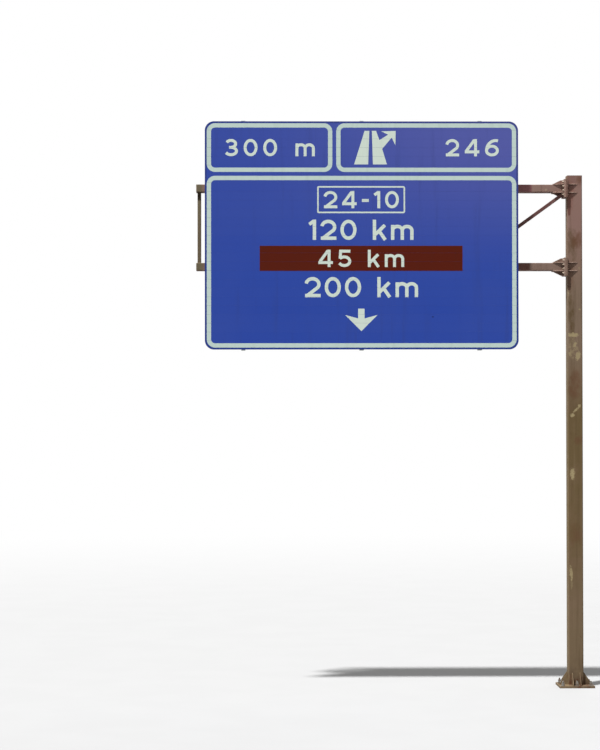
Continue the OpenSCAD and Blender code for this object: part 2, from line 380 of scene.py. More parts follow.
def arm_paint(name, plain, dull, painted_shadow=ARM_PAINTED_SHADOW, wear_and_highlight=0.65, edge_width=0.008, edge_colour=WORN_PAINT):
    """The same paint on the arm, with the sign's shadow painted on redder and darker, olive at the tip."""
    look = Look(name, plain)
    begin, fade, high, low = painted_shadow
    _, facing, lifted = look.node("SeparateXYZ", {0: look.face})
    upper = look.ramp(look.z, 9.0, 9.2)
    look.mottle(dull, 0.7, (0.36, 0.66), 1.6, 5, 0.6)
    look.coat("685c4c", look.minus(1.0, upper), 0.40)
    # Painted shadow: redder, darker paint where the sign's shadow falls, with a sharp edge on the front
    along = look.minus(look.x, look.times(upper, PAINTED_SHADOW_SLANT))
    front = look.times(look.ramp(look.y, -0.09, -0.10), look.ramp(facing, -0.5, -0.9))
    soft, sharp = look.ramp(along, begin + 0.2, begin - 0.9), look.ramp(along, begin, begin - 0.03)
    begun = look.plus(soft, look.times(front, look.minus(sharp, soft)))
    strong = look.ramp(look.times(front, look.ramp(look.x, fade, fade * 0.8)), 0, 1, 0.38, 0.85)
    look.coat(look.mix(upper, low, high), begun, strong, look.ramp(look.x, *PAINTED_SHADOW_TIP))
    look.coat("6c664c", look.ramp(look.x, *TIP), 0.8)
    look.mottle("5a4238", 0.30, (0.50, 0.68), 1.0, 4, 0.55, stretch=(13, 13, 1.2))
    look.mottle("5a382a", 0.6, (0.62, 0.69), 8, 6, 0.65)
    ragged = look.plus(patch(look, *ARM_SPECK), look.ramp(look.noise(30), 0.2, 0.8, -1, 1))
    speck = look.times(look.ramp(ragged, 1.5, 0.7), look.ramp(look.y, *FACE_ALONE))
    bare = look.ramp(look.noise(6, 5, 0.6, offset=(3, 8, 2)), 0.70, 0.73, 0, 0.7)
    look.coat("a08c76", look.most(speck, bare))
    # Painted shade, rust coloured: faces that look down are made darker and redder
    look.coat("684032", look.ramp(lifted, -0.5, -0.9, 0, 0.6))
    # Pale edges: edge wear, and on the plates also a painted highlight of their lit edges
    gate = look.ramp(look.noise(12, 4, 0.6), 0.62 - 0.3 * wear_and_highlight, 0.62)
    look.coat(edge_colour, look.edges(edge_width), gate, wear_and_highlight)
    # Painted shadow of the upper chord on the lattice tubes and end posts
    under = look.times(look.ramp(look.z, *CHORD_SHADOW_START), look.ramp(look.z, *CHORD_SHADOW_TOP))
    look.coat("2c2218", under, look.ramp(look.x, *CHORD_SHADOW_END), 0.85)
    look.relief(look.noise(60, 6, 0.6), 0.002, 0.5)
    return look.finish(look.uneven(0.58, 0.82, 6, 4, 0.6), specular=0.15)


def zinc(name, dark, light, scale):
    """Hot dip zinc: spangle grains in slightly different greys, with dull patches."""
    look = Look(name, dark)
    grains = look.node("TexVoronoi", {"Vector": look.place, "Scale": scale})["Color"]
    shade = look.node("SeparateXYZ", {0: grains})[0]
    look.coat(light, shade)
    dull = look.ramp(look.noise(4, 5, 0.6), 0.4, 0.65, 0, 0.6)
    look.coat("9ea09c", dull)
    look.mottle("686258", 0.5, (0.55, 0.7), 1.0, 4, 0.5, stretch=(20, 20, 1.0))
    look.relief(look.noise(90, 4, 0.6), 0.0012, 0.4)
    roughness = look.plus(look.times(shade, 0.16), look.ramp(dull, 0, 0.6, 0.42, 0.55))
    return look.finish(roughness, metallic=0.55)


def edge_distance(look):
    """Distance of a point on the board from its edge, right up to the board's corner radius."""
    squares = []
    for value, low, size in ((look.x, board_left, board_width), (look.z, board_bottom, board_height)):
        away = look.math("ABSOLUTE", look.minus(value, low + size / 2))
        past = look.most(look.minus(away, size / 2 - BOARD_CORNER), 0.0)
        squares.append(look.times(past, past))
    return look.minus(BOARD_CORNER, look.math("SQRT", look.plus(*squares)))


def slats_up(look):
    """Height on the board, counted in slats."""
    return look.math("DIVIDE", look.minus(look.z, board_bottom), slat_pitch)


def near_joint(look, low, high):
    """One at a joint between two slats, with limits as shares of a slat from the slat's middle."""
    within = look.math("FRACT", slats_up(look))
    return look.ramp(look.math("ABSOLUTE", look.minus(within, 0.5)), low, high)


# Depth of the blue film on the face of the slats
FILM_DEPTH = 0.0003


def slat_finish():
    """Blue film on the face of the slats, and dull extruded aluminium everywhere else."""
    look = Look("sign_slat", "2c48a4")
    # The film has faded towards the top of the board, most of all on the right
    faded = look.ramp(look.z, board_bottom + 1.2, board_top)
    look.coat("585ea8", faded, look.ramp(look.x, board_left, board_right, 0.22, 1.0))
    slat = look.math("FLOOR", slats_up(look))
    tint = look.node("TexWhiteNoise", {"W": slat}, noise_dimensions="1D")[0]
    look.coat("4a5eaa", tint, 0.06)
    look.mottle("4254a0", 0.16, (0.35, 0.7), 0.8, 4, 0.5)
    look.mottle("323a68", 0.16, (0.52, 0.72), 1.0, 4, 0.6, stretch=(9, 1, 0.5))
    look.coat("222e68", look.ramp(edge_distance(look), 0.045, 0.028, 0, 0.6))
    look.coat("222c60", near_joint(look, 0.488, 0.497), 0.4)
    blue, look.colour = look.colour, "9ca0a0"
    look.coat("b6b9b8", look.noise(1.0, 3, 0.5, stretch=(0.6, 120, 160)))
    look.mottle("8c8d88", 0.45, (0.45, 0.7), 3, 5, 0.6, stretch=(1.3, 1, 0.4))
    streaks = {"stretch": (11, 1, 0.6), "offset": (5, 0, 2)}
    look.mottle("7e7e76", 0.35, (0.54, 0.76), 1.0, 4, 0.55, **streaks)
    film_here = look.math("LESS_THAN", look.y, board_face + FILM_DEPTH)
    look.coat(blue, film_here)
    look.relief(look.noise(35, 3, 0.5), 0.0006, 0.25)
    metal_here = look.minus(1.0, film_here)
    film_rough = look.times(film_here, look.uneven(0.42, 0.54, 5, 3, 0.5))
    roughness = look.plus(film_rough, look.times(metal_here, 0.45))
    return look.finish(roughness, look.times(metal_here, 0.75), specular=0.12)


def film_finish(name, clean, dirty, joint_colour):
    """Retroreflective film: a fine cell pattern, dirt runs and a darker line at each slat joint."""
    look = Look(name, clean)
    cells = look.node("TexVoronoi", {"Vector": look.place, "Scale": 260.0})[0]
    look.coat(dirty, look.ramp(cells, 0.1, 0.6, 0, 0.10))
    look.mottle(dirty, 0.35, (0.48, 0.72), 1.0, 4, 0.6, stretch=(10, 1, 0.7))
    look.coat(joint_colour, near_joint(look, 0.465, 0.495), 0.15)
    look.relief(look.noise(35, 3, 0.5), 0.0006, 0.25)
    return look.finish(look.uneven(0.42, 0.56, 5, 3, 0.5), specular=0.10)


def fastener_finish(name, dark, light, rusted):
    """Zinc plated steel that has begun to rust."""
    look = Look(name, dark)
    look.coat(light, look.noise(30, 4, 0.6))
    rust = look.ramp(look.noise(22, 5, 0.65), 0.46, 0.62, 0, rusted)
    look.coat("684632", rust)
    look.relief(look.noise(220, 4, 0.6), 0.0008, 0.5)
    return look.finish(look.ramp(rust, 0, 0.85, 0.42, 0.75), look.ramp(rust, 0, 0.85, 0.7, 0.1))


# Shapes

class Shape:
    """Collects the points and faces of one piece."""

    def __init__(self):
        self.points = []
        self.faces = []

    def loft(self, rings, closed=False):
        """Skin through rings of equally many points, with its two ends capped unless it is closed."""
        first = len(self.points)
        count = len(rings[0])
        for points in rings:
            self.points += points
        steps = len(rings) if closed else len(rings) - 1
        for i in range(steps):
            low = first + i * count
            high = first + (i + 1) % len(rings) * count
            for j in range(count):
                k = (j + 1) % count
                self.faces.append((low + j, low + k, high + k, high + j))
        if not closed:
            for end in (first, first + (len(rings) - 1) * count):
                self.faces.append(tuple(range(end, end + count)))

    def prism(self, outline, direction):
        """A flat outline of points, extruded by a vector."""
        self.loft([outline, [point + direction for point in outline]])

    def make(self, name, material, slot, smooth_angle=None):
        """Makes the piece, which rides on the gantry's only body."""
        mesh = bpy.data.meshes.new(name)
        mesh.from_pydata(self.points, [], self.faces)
        work = bmesh.new()
        work.from_mesh(mesh)
        bmesh.ops.recalc_face_normals(work, faces=work.faces)
        work.to_mesh(mesh)
        work.free()
        mesh.materials.append(material)
        made = in_scene(name, mesh)
        if smooth_angle:
            mesh.shade_smooth()
            mesh.set_sharp_from_angle(angle=math.radians(smooth_angle))
        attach(made, "root")


def ring(centre, axis, radii):
    """Points round a centre and square to an axis, one for each radius."""
    across = (BACK if abs(axis.z) > 0.9 else UP).cross(axis).normalized()
    up = axis.cross(across)
    step = 2 * math.pi / len(radii)
    return [
        centre + (across * math.cos(i * step) + up * math.sin(i * step)) * radius
        for i, radius in enumerate(radii)
    ]


# Fasteners

SIDES = 24
CHAMFER = math.tan(math.radians(30))
CHAMFER_SHARE = 0.475
THREAD_SIDES = 16
THREAD_STEPS = 4
THREAD_DEPTH = 0.61
THREAD_IN_NUT = 0.1

# Hexagon bolts with their nuts and washers. The stub is the thread that stands out of the nut.
Bolt = namedtuple("Bolt", "diameter flats head nut washer washer_height pitch stub")
M8 = Bolt(0.008, 0.013, 0.0055, 0.0068, 0.018, 0.002, 0.00125, 0.006)
M16 = Bolt(0.016, 0.024, 0.010, 0.0148, 0.030, 0.003, 0.002, 0.010)
M24 = Bolt(0.024, 0.036, 0.015, 0.0215, 0.044, 0.004, 0.003, 0.014)
M36 = Bolt(0.036, 0.055, 0.0225, 0.031, 0.066, 0.005, 0.004, 0.055)


def hexagon(shape, base, axis, flats, height):
    """Bolt head or nut with the round chamfer on its outer end. Two of its flats are upright."""
    step = 2 * math.pi / SIDES
    angles = [(i * step) % (math.pi / 3) for i in range(SIDES)]
    radii = [flats / 2 / math.cos(min(angle, math.pi / 3 - angle)) for angle in angles]
    top = CHAMFER_SHARE * flats
    end = base + axis * height
    outer = ring(end, axis, radii)
    lowered = [point - axis * (radius - top) * CHAMFER for point, radius in zip(outer, radii)]
    shape.loft([ring(base, axis, radii), lowered, ring(end, axis, [top] * SIDES)])


def thread(shape, base, axis, bolt, length):
    """Stub with a helical thread and a chamfered end."""
    depth = THREAD_DEPTH * bolt.pitch
    count = max(2, round(length / bolt.pitch * THREAD_STEPS))
    rings = []
    for i in range(count + 1):
        along = length * i / count
        end = max(0.0, depth - (length - along))
        radii = []
        for j in range(THREAD_SIDES):
            phase = (along / bolt.pitch - j / THREAD_SIDES) % 1
            groove = depth * abs(2 * phase - 1)
            radii.append(bolt.diameter / 2 - max(groove, end))
        rings.append(ring(base + axis * along, axis, radii))
    shape.loft(rings)


def add_washer(shape, bolt, seat, axis):
    """Adds a washer and gives the place on top of it."""
    radii = [bolt.washer / 2] * SIDES
    on = seat + axis * bolt.washer_height
    shape.loft([ring(seat, axis, radii), ring(on, axis, radii)])
    return on


def add_head(shape, bolt, seat, axis):
    on = add_washer(shape, bolt, seat, axis)
    hexagon(shape, on, axis, bolt.flats, bolt.head)


def add_nut(shape, bolt, seat, axis):
    on = add_washer(shape, bolt, seat, axis)
    hexagon(shape, on, axis, bolt.flats, bolt.nut)
    inner = on + axis * (bolt.nut * (1 - THREAD_IN_NUT))
    thread(shape, inner, axis, bolt, bolt.stub + bolt.nut * THREAD_IN_NUT)


FLANGE_BOLT_EDGE = 0.035
FLANGE_BOLT_PITCH = 0.085
FLANGE_ROWS = (-1.5, -0.5, 0.5, 1.5)


def flange_bolts(level):
    """Heads at the column and nuts at the arm of the eight bolts through one pair of flanges."""
    heads, nuts = Shape(), Shape()
    low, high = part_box(level + "_column_flange")
    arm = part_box(level + "_arm_flange")[0]
    for y in (low.y + FLANGE_BOLT_EDGE, high.y - FLANGE_BOLT_EDGE):
        for row in FLANGE_ROWS:
            z = (low.z + high.z) / 2 + row * FLANGE_BOLT_PITCH
            add_head(heads, M24, Vector((high.x, y, z)), RIGHT)
            add_nut(nuts, M24, Vector((arm.x, y, z)), -RIGHT)
    return heads, nuts


ANCHOR_EDGE = 0.070
PLATE_WASHER = 0.040
PLATE_WASHER_HEIGHT = 0.008
LOCK_NUT = 0.018
LOCK_NUT_GAP = 0.001


def anchor_bolts():
    """Eight anchor rods with plate washers, nuts and lock nuts on the base plate."""
    shape = Shape()
    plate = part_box("base_plate")[1]
    row = plate.x - ANCHOR_EDGE
    outline = rectangle(-PLATE_WASHER, -PLATE_WASHER, PLATE_WASHER, PLATE_WASHER)
    lock_height = PLATE_WASHER_HEIGHT + M36.washer_height + M36.nut + LOCK_NUT_GAP
    for x in (-row, 0, row):
        for y in (-row, 0, row):
            if x or y:
                seat = Vector((x, y, plate.z))
                shape.prism([seat + Vector((a, b, 0)) for a, b in outline], UP * PLATE_WASHER_HEIGHT)
                add_nut(shape, M36, seat + UP * PLATE_WASHER_HEIGHT, UP)
                hexagon(shape, seat + UP * lock_height, UP, M36.flats, LOCK_NUT)
    return shape


SUPPORTS = ("right_support", "middle_support", "left_support")
SUPPORT_FLANGE = 0.0074
BRACKET_FLANGE = 0.010
BRACKET_BOLT_X = 0.026
BRACKET_BOLT_Z = 0.042


def bracket_bolts(support):
    """Four bolts through a support and each of its two brackets."""
    shape = Shape()
    centre = middle(support).x
    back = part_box(support)[1].y
    for brackets in ("upper_brackets", "lower_brackets"):
        height = middle(brackets).z
        for x in (-BRACKET_BOLT_X, BRACKET_BOLT_X):
            for z in (-BRACKET_BOLT_Z, BRACKET_BOLT_Z):
                place = Vector((centre + x, back, height + z))
                add_head(shape, M16, place - BACK * SUPPORT_FLANGE, -BACK)
                add_nut(shape, M16, place + BACK * BRACKET_FLANGE, BACK)
    return shape


# Slat clamps: a saddle hooks behind the lips of two slats, and a claw bolted to it grips the support
SLAT_TONGUE = 0.010
SLAT_LIP = 0.014
SLAT_WALL = 0.0025
SADDLE_WALL = 0.004
SADDLE_HOOK = 0.008
HOOK_CLEAR = 0.0005
CLAMP_LENGTH = 0.034
CLAMP_CLEAR = 0.003
# Claw: wall, height, its underside below the joint, how far it reaches over the support, and where its
# foot ends and begins, beyond and within the length of the saddle
CLAW_WALL = 0.006
CLAW_HEIGHT = 0.032
CLAW_DROP = 0.011
CLAW_REACH = 0.024
CLAW_OVER = 0.004
CLAW_WITHIN = 0.006
# Bolt of the clamp: its distance from the support and above the joint
CLAMP_BOLT = (0.016, 0.005)


def saddle_outline(joint):
    """C section round the lips, as depth behind the board's back and height."""
    low = joint - SLAT_LIP - SADDLE_WALL - HOOK_CLEAR
    high = joint + SLAT_TONGUE + SLAT_LIP + SADDLE_WALL + HOOK_CLEAR
    inner = -SLAT_WALL - HOOK_CLEAR
    outer = inner - SADDLE_WALL
    catch = SADDLE_WALL + SADDLE_HOOK
    hook = [(outer, 0), (outer, catch), (inner, catch), (inner, SADDLE_WALL), (0, SADDLE_WALL)]
    upper = [(y, high - z) for y, z in hook]
    lower = [(y, low + z) for y, z in reversed(hook)]
    return [(SADDLE_WALL, low), (SADDLE_WALL, high)] + upper + lower


def slat_clamps(support):
    """Clamps on both sides of a support, at every joint between two slats."""
    shape = Shape()
    low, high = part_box(support)
    grip = board_back + SUPPORT_FLANGE
    foot = board_back + SADDLE_WALL
    claw = [
        (-CLAW_REACH, grip), (-CLAW_REACH, grip + CLAW_WALL), (CLAMP_LENGTH + CLAW_OVER, grip + CLAW_WALL),
        (CLAMP_LENGTH + CLAW_OVER, foot), (CLAMP_LENGTH - CLAW_WITHIN, foot),
        (CLAMP_LENGTH - CLAW_WITHIN, grip),
    ]
    for i in range(1, SLAT_COUNT):
        joint = board_bottom + i * slat_pitch
        for edge, side in ((low.x, -1), (high.x, 1)):
            start = edge + side * CLAMP_CLEAR
            saddle = [Vector((start, board_back + y, z)) for y, z in saddle_outline(joint)]
            shape.prism(saddle, RIGHT * side * CLAMP_LENGTH)
            outline = [Vector((edge + side * x, y, joint - CLAW_DROP)) for x, y in claw]
            shape.prism(outline, UP * CLAW_HEIGHT)
            seat = Vector((edge + side * CLAMP_BOLT[0], grip + CLAW_WALL, joint + CLAMP_BOLT[1]))
            add_nut(shape, M8, seat, BACK)
    return shape


# Weld beads

BEAD_STEP = 0.007
BEAD_SINK = 0.0005
BEAD_PROFILE = [(0, 0), (1, 0), (0.84, 0.36), (0.60, 0.60), (0.36, 0.84), (0, 1)]
BEAD_RIPPLE = 0.12
BEAD_VARIES = 0.05
# Sizes of the beads
THIN_BEAD = 0.006
PLATE_BEAD = 0.007
CHORD_BEAD = 0.008
FLANGE_BEAD = 0.009
HEAVY_BEAD = 0.010
GROOVE_BEAD = 0.013


def bead(shape, corners, along, size, closed=False):
    """Rippled fillet weld. Each corner is a point and the direction away from the joint on one face,
    and along is the direction away from the joint on the other face."""
    stops = [(Vector(place), outward) for place, outward in corners]
    if closed:
        stops.append(stops[0])
    stations = []
    for (start, out_a), (end, out_b) in zip(stops, stops[1:]):
        steps = max(1, round((end - start).length / BEAD_STEP))
        stations += [(start.lerp(end, i / steps), out_a.lerp(out_b, i / steps)) for i in range(steps)]
    if not closed:
        stations.append(stops[-1])
    rings = []
    for i, (point, outward) in enumerate(stations):
        outward = outward.normalized()
        ripple = size * (1 - BEAD_RIPPLE * (i % 2) + rng.uniform(-BEAD_VARIES, BEAD_VARIES))
        base = point - (outward + along) * BEAD_SINK
        rings.append([base + (outward * a + along * b) * ripple for a, b in BEAD_PROFILE])
    shape.loft(rings, closed)


def seam(shape, start, end, outward, along, size):
    """A straight bead."""
    bead(shape, [(start, outward), (end, outward)], along, size)


def round_loop(centre, across, up, width, radius, arc_steps=4):
    """Corner points of a square with round corners, each with its outward direction."""
    points = []
    for turn, (a, b) in enumerate(((1, 1), (-1, 1), (-1, -1), (1, -1))):
        middle_of_arc = centre + across * a * (width / 2 - radius) + up * b * (width / 2 - radius)
        for i in range(arc_steps + 1):
            angle = math.pi / 2 * (turn + i / arc_steps)
            outward = across * math.cos(angle) + up * math.sin(angle)
            points.append((middle_of_arc + outward * radius, outward))
    return points


COLUMN_CORNER = 0.025
# Depth of the groove weld in the column's corner, as a share of the corner's radius
GROOVE = 0.42
GUSSET = 0.015
GUSSET_OFFSET = 0.075
GUSSET_MARGIN = 0.020


def base_welds():
    """Beads round the foot of the column and along its gussets."""
    shape = Shape()
    low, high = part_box("column")
    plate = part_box("base_plate")[1]
    width = high.x - low.x
    foot = Vector((0, 0, plate.z))
    bead(shape, round_loop(foot, RIGHT, BACK, width, COLUMN_CORNER), UP, HEAVY_BEAD, closed=True)
    reach = plate.x - GUSSET_MARGIN
    gusset_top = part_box("base_gussets")[1].z
    for quarter in range(4):
        angle = quarter * math.pi / 2
        out = Vector((math.cos(angle), math.sin(angle), 0))
        side = Vector((-math.sin(angle), math.cos(angle), 0))
        for offset in (-GUSSET_OFFSET, GUSSET_OFFSET):
            for face in (-1, 1):
                line = side * (offset + face * GUSSET / 2) + foot
                start = line + out * width / 2
                seam(shape, start, line + out * reach, side * face, UP, PLATE_BEAD)
                seam(shape, start, (start.x, start.y, gusset_top), side * face, out, PLATE_BEAD)
    return shape


def column_welds(level):
    """Beads between the column, one of its flanges and the stiffeners."""
    shape = Shape()
    low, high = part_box("column")
    flange_low, flange_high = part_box(level + "_column_flange")
    centre = (flange_low.z + flange_high.z) / 2
    face = low.x
    flat = high.y - COLUMN_CORNER
    for z, away in ((flange_high.z, UP), (flange_low.z, -UP)):
        seam(shape, (face, -flat, z), (face, flat, z), away, -RIGHT, FLANGE_BEAD)
    for side in (-1, 1):
        out, y = BACK * side, side * high.y
        groove = side * (high.y - COLUMN_CORNER * GROOVE)
        seam(shape, (face, groove, flange_low.z), (face, groove, flange_high.z), out, RIGHT, GROOVE_BEAD)
        for upper in (-PLATE_LEVEL, PLATE_LEVEL - STIFFENER):
            for z, away in ((centre + upper, -UP), (centre + upper + STIFFENER, UP)):
                start, end = face + COLUMN_CORNER, face + STIFFENER_REACH
                seam(shape, (start, y, z), (end, y, z), out, away, THIN_BEAD)
                seam(shape, (face, y, z), (face, side * PLATE_REACH, z), RIGHT, away, THIN_BEAD)
    return shape


CHORD_CORNER = 0.010
ARM_GUSSET_REACH = 0.215
UPRIGHT_REACH = 0.210
UPRIGHT_MARGIN = 0.005
CORNER_INSET = 0.004
TUBE = 0.070
TUBE_CORNER = 0.008


def arm_joint_welds(level):
    """Beads between a chord, its flange and the level and upright plates that brace the flange."""
    shape = Shape()
    low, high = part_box(level + "_chord")
    flange_low, flange_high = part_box(level + "_arm_flange")
    face = flange_low.x
    toe = face - ARM_GUSSET_REACH
    centre = (low.z + high.z) / 2
    flat_y, flat_z = high.y - CHORD_CORNER, high.z - centre - CHORD_CORNER
    for side in (-1, 1):
        out, y = BACK * side, side * high.y
        inner = side * (high.y - CORNER_INSET)
        seam(shape, (face, y, centre - flat_z), (face, y, centre + flat_z), out, -RIGHT, CHORD_BEAD)
        for z, up in ((high.z, UP), (low.z, -UP)):
            seam(shape, (face, inner, z), (toe, inner, z), out, -up, HEAVY_BEAD)
            seam(shape, (face, y, z), (face, side * PLATE_REACH, z), -RIGHT, -up, CHORD_BEAD)
    for z, plate, tip, up in (
        (high.z, centre + PLATE_LEVEL, flange_high.z - UPRIGHT_MARGIN, UP),
        (low.z, centre - PLATE_LEVEL, flange_low.z + UPRIGHT_MARGIN, -UP),
    ):
        seam(shape, (toe, -flat_y, z), (toe, flat_y, z), -RIGHT, up, CHORD_BEAD)
        for side in (-1, 1):
            out = BACK * side
            foot = Vector((face, side * STIFFENER / 2, plate))
            seam(shape, foot, (face, side * PLATE_REACH, plate), -RIGHT, up, CHORD_BEAD)
            seam(shape, foot, foot - RIGHT * UPRIGHT_REACH, out, up, PLATE_BEAD)
            seam(shape, foot, (face, foot.y, tip), out, -RIGHT, PLATE_BEAD)
    return shape


def tube_foot(centre, along):
    """Loop of a lattice tube that runs along a direction, where a level face of a chord cuts it."""
    corners = []
    square_up = BACK.cross(along).normalized()
    for point, outward in round_loop(Vector((0, 0, 0)), square_up, BACK, TUBE, TUBE_CORNER):
        drop = point.z / along.z
        level_out = Vector((outward.x / abs(square_up.x), outward.y, 0))
        corners.append((centre + (point - along * drop), level_out.normalized()))
    return corners


def post_centres(node):
    """Places along X of the upright tubes of a CAD node, from the gaps between its points."""
    found = sorted({round(vertex.co.x, 4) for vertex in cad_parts[node].data.vertices})
    groups = [[found[0]]]
    for x in found[1:]:
        if x - groups[-1][0] > 2 * TUBE:
            groups.append([])
        groups[-1].append(x)
    return [(group[0] + group[-1]) / 2 for group in groups]


def lattice_welds(side):
    """Beads at both ends of the posts and diagonals in one plane of the lattice."""
    shape = Shape()
    plane = middle(side + "_diagonals").y
    nodes = post_centres(side + "_verticals")
    low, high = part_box("lower_chord")[1].z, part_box("upper_chord")[0].z
    axis_low, axis_high = middle("lower_chord").z, middle("upper_chord").z
    for x in sorted(nodes + post_centres("end_posts")):
        for z, along in ((low, UP), (high, -UP)):
            loop = round_loop(Vector((x, plane, z)), RIGHT, BACK, TUBE, TUBE_CORNER)
            bead(shape, loop, along, THIN_BEAD, closed=True)
    nodes.sort(reverse=True)
    panel = nodes[0] - nodes[1]
    up_right = Vector((panel, 0, axis_high - axis_low)).normalized()
    lean = up_right.x / up_right.z
    for x in nodes:
        foot = Vector((x + lean * (low - axis_low), plane, low))
        bead(shape, tube_foot(foot, up_right), up_right, THIN_BEAD, closed=True)
        head = Vector((x + panel - lean * (axis_high - high), plane, high))
        if x != nodes[0]:
            bead(shape, tube_foot(head, up_right), -up_right, THIN_BEAD, closed=True)
    add_first_head(shape, plane, nodes[0] + panel, axis_high, high - STIFFENER, up_right)
    return shape


def add_first_head(shape, plane, node_x, axis_high, high, up_right):
    """The first diagonal ends against the arm flange and the level plate under the chord."""
    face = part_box("upper_arm_flange")[0].x
    slope = up_right.z / up_right.x
    centre_z = axis_high - (node_x - face) * slope
    half = TUBE / 2 / up_right.x
    under = face - (centre_z + half - high) / slope
    bottom = centre_z - half
    near, far = plane - TUBE / 2, plane + TUBE / 2
    on_flange = [
        ((face, near, high), -BACK), ((face, near, bottom), -BACK - UP),
        ((face, far, bottom), BACK - UP), ((face, far, high), BACK),
    ]
    on_plate = [
        ((face, far, high), BACK), ((under, far, high), BACK - RIGHT),
        ((under, near, high), -BACK - RIGHT), ((face, near, high), -BACK),
    ]
    for corners in (on_flange, on_plate):
        bead(shape, corners, -up_right, THIN_BEAD)


BRACKET_WIDTH = 0.100


def bracket_welds():
    """Beads between the brackets and the chords."""
    shape = Shape()
    for brackets in ("upper_brackets", "lower_brackets"):
        low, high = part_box(brackets)
        for support in SUPPORTS:
            for side in (-1, 1):
                x = middle(support).x + side * BRACKET_WIDTH / 2
                start, end = (x, high.y, low.z + CHORD_CORNER), (x, high.y, high.z - CHORD_CORNER)
                seam(shape, start, end, RIGHT * side, -BACK, THIN_BEAD)
    return shape


# Films on the sign. Places on the board are in millimetres from its upper left corner.

MM = 0.001
# How far films stand proud of the board, and how far their backs lie in it, in metres
FILM = 0.0004
MARK = 0.0006
UPPER_FILM = 0.0008
FILM_SINK = 0.0002
# Width of the cut in a film at a slat joint, and how far the cuts run past the board
FILM_GAP = 1.6
CUT_PAST = 9


def stroke(path, width, closed=False):
    """Quadrilaterals that follow a path of (u, v) points at a width, mitred at the corners."""
    points = [Vector(point) for point in path]
    after = [(b - a).normalized() for a, b in zip(points, points[1:] + points[:1])]
    before = after[-1:] + after[:-1]
    if not closed:
        before[0], after[-1] = after[0], after[-2]
    edges = []
    for point, into, out in zip(points, before, after):
        tangent = (into + out).normalized()
        normal = Vector((-tangent.y, tangent.x))
        stretch = max(0.5, tangent.dot(out))
        edges.append((point + normal * width / 2 / stretch, point - normal * width / 2 / stretch))
    pairs = zip(edges, edges[1:] + edges[:1] if closed else edges[1:])
    return [[a[0], a[1], b[1], b[0]] for a, b in pairs]


def area(polygon):
    return sum(a[0] * b[1] - b[0] * a[1] for a, b in zip(polygon, polygon[1:] + polygon[:1])) / 2


def film(name, polygons, material, proud=FILM):
    """Thin film in the shape of all the polygons together, cut through at the slat joints."""
    cuts = []
    for i in range(1, SLAT_COUNT):
        v = (i * slat_pitch + SLAT_GAP / 2) / MM
        cuts.append(rectangle(-CUT_PAST, v - FILM_GAP / 2, board_width / MM + CUT_PAST, v + FILM_GAP / 2))
    corners, loops = [], []
    for polygon in polygons + cuts:
        polygon = list(polygon)
        if area(polygon) < 0:
            polygon.reverse()
        loops.append(list(range(len(corners), len(corners) + len(polygon))))
        corners += [Vector(point) for point in polygon]
    points, _, faces, _, _, sources = delaunay_2d_cdt(corners, [], loops, 1, 1e-4)
    kept = [face for face, origin in zip(faces, sources) if origin and max(origin) < len(polygons)]
    film_solid(name, points, kept, material, proud)


def film_solid(name, points, faces, material, proud):
    """Solid film from flat triangles on the board."""
    shape = Shape()
    used = sorted({i for face in faces for i in face})
    count = len(used)
    index = {old: new for new, old in enumerate(used)}
    for y in (board_face - proud, board_face + FILM_SINK):
        shape.points += [
            Vector((board_left + points[i].x * MM, y, board_top - points[i].y * MM)) for i in used
        ]
    edges = []
    for face in faces:
        front = [index[i] for i in face]
        shape.faces.append(tuple(front))
        shape.faces.append(tuple(count + i for i in reversed(front)))
        edges += zip(front, front[1:] + front[:1])
    inner = set(edges)
    shape.faces += [(b, a, count + a, count + b) for a, b in edges if (b, a) not in inner]
    shape.make(name, material, "sign_slat")


def arc(cu, cv, ru, rv, start, end, steps=14):
    """Points on an ellipse. Angles are in degrees, from the right and clockwise."""
    angles = [math.radians(start + (end - start) * i / steps) for i in range(steps + 1)]
    return [(cu + ru * math.cos(angle), cv + rv * math.sin(angle)) for angle in angles]


def rounded(left, top, right, bottom, radius):
    """Closed path round a rectangle with round corners."""
    inner = rectangle(right - radius, bottom - radius, left + radius, top + radius)
    path = []
    for turn, (u, v) in enumerate(inner):
        path += arc(u, v, radius, radius, 90 * turn, 90 * turn + 90, 16)
    return path


# Figures as strokes in units of their height, drawn in the middle of the stroke. Each entry is the
# width and a list of paths, and a path that ends where it starts is closed.
PEN = 0.168
HALF = PEN / 2
FIGURES = {
    "0": (0.80, [arc(0.40, 0.50, 0.316, 0.416, 0, 360, 36)]),
    "1": (0.36, [[(0.276, 0), (0.276, 1)], [(0.02, 0.23), (0.25, 0.07)]]),
    "2": (0.80, [
        arc(0.40, 0.36, 0.316, 0.276, 188, 395) + [(0.16, 0.90)],
        [(0.03, 1 - HALF), (0.80, 1 - HALF)],
    ]),
    "3": (0.78, [
        arc(0.38, 0.285, 0.27, 0.201, 205, 450),
        arc(0.38, 0.70, 0.316, 0.216, 270, 515),
        [(0.27, 0.486), (0.39, 0.486)],
    ]),
    "4": (0.84, [[(0.56, 0.05), (0.09, 0.69)], [(0, 0.74), (0.84, 0.74)], [(0.62, 0), (0.62, 1)]]),
    "5": (0.78, [
        [(0.10, HALF), (0.73, HALF)],
        [(0.175, 0.02), (0.14, 0.52)],
        arc(0.38, 0.665, 0.316, 0.251, 218, 515),
    ]),
    "6": (0.80, [
        arc(0.40, 0.665, 0.316, 0.251, 0, 360, 30),
        arc(0.62, 0.665, 0.536, 0.581, 180, 284),
    ]),
    "m": (1.12, [
        [(HALF, 0.26), (HALF, 1)],
        arc(0.322, 0.534, 0.238, 0.20, 180, 360) + [(0.56, 1)],
        arc(0.798, 0.534, 0.238, 0.20, 180, 360) + [(1.036, 1)],
    ]),
    "k": (0.70, [[(HALF, 0), (HALF, 1)], [(0.12, 0.74), (0.60, 0.27)], [(0.30, 0.54), (0.62, 1)]]),
    "-": (0.44, [[(0.02, 0.55), (0.42, 0.55)]]),
    " ": (0.40, []),
}


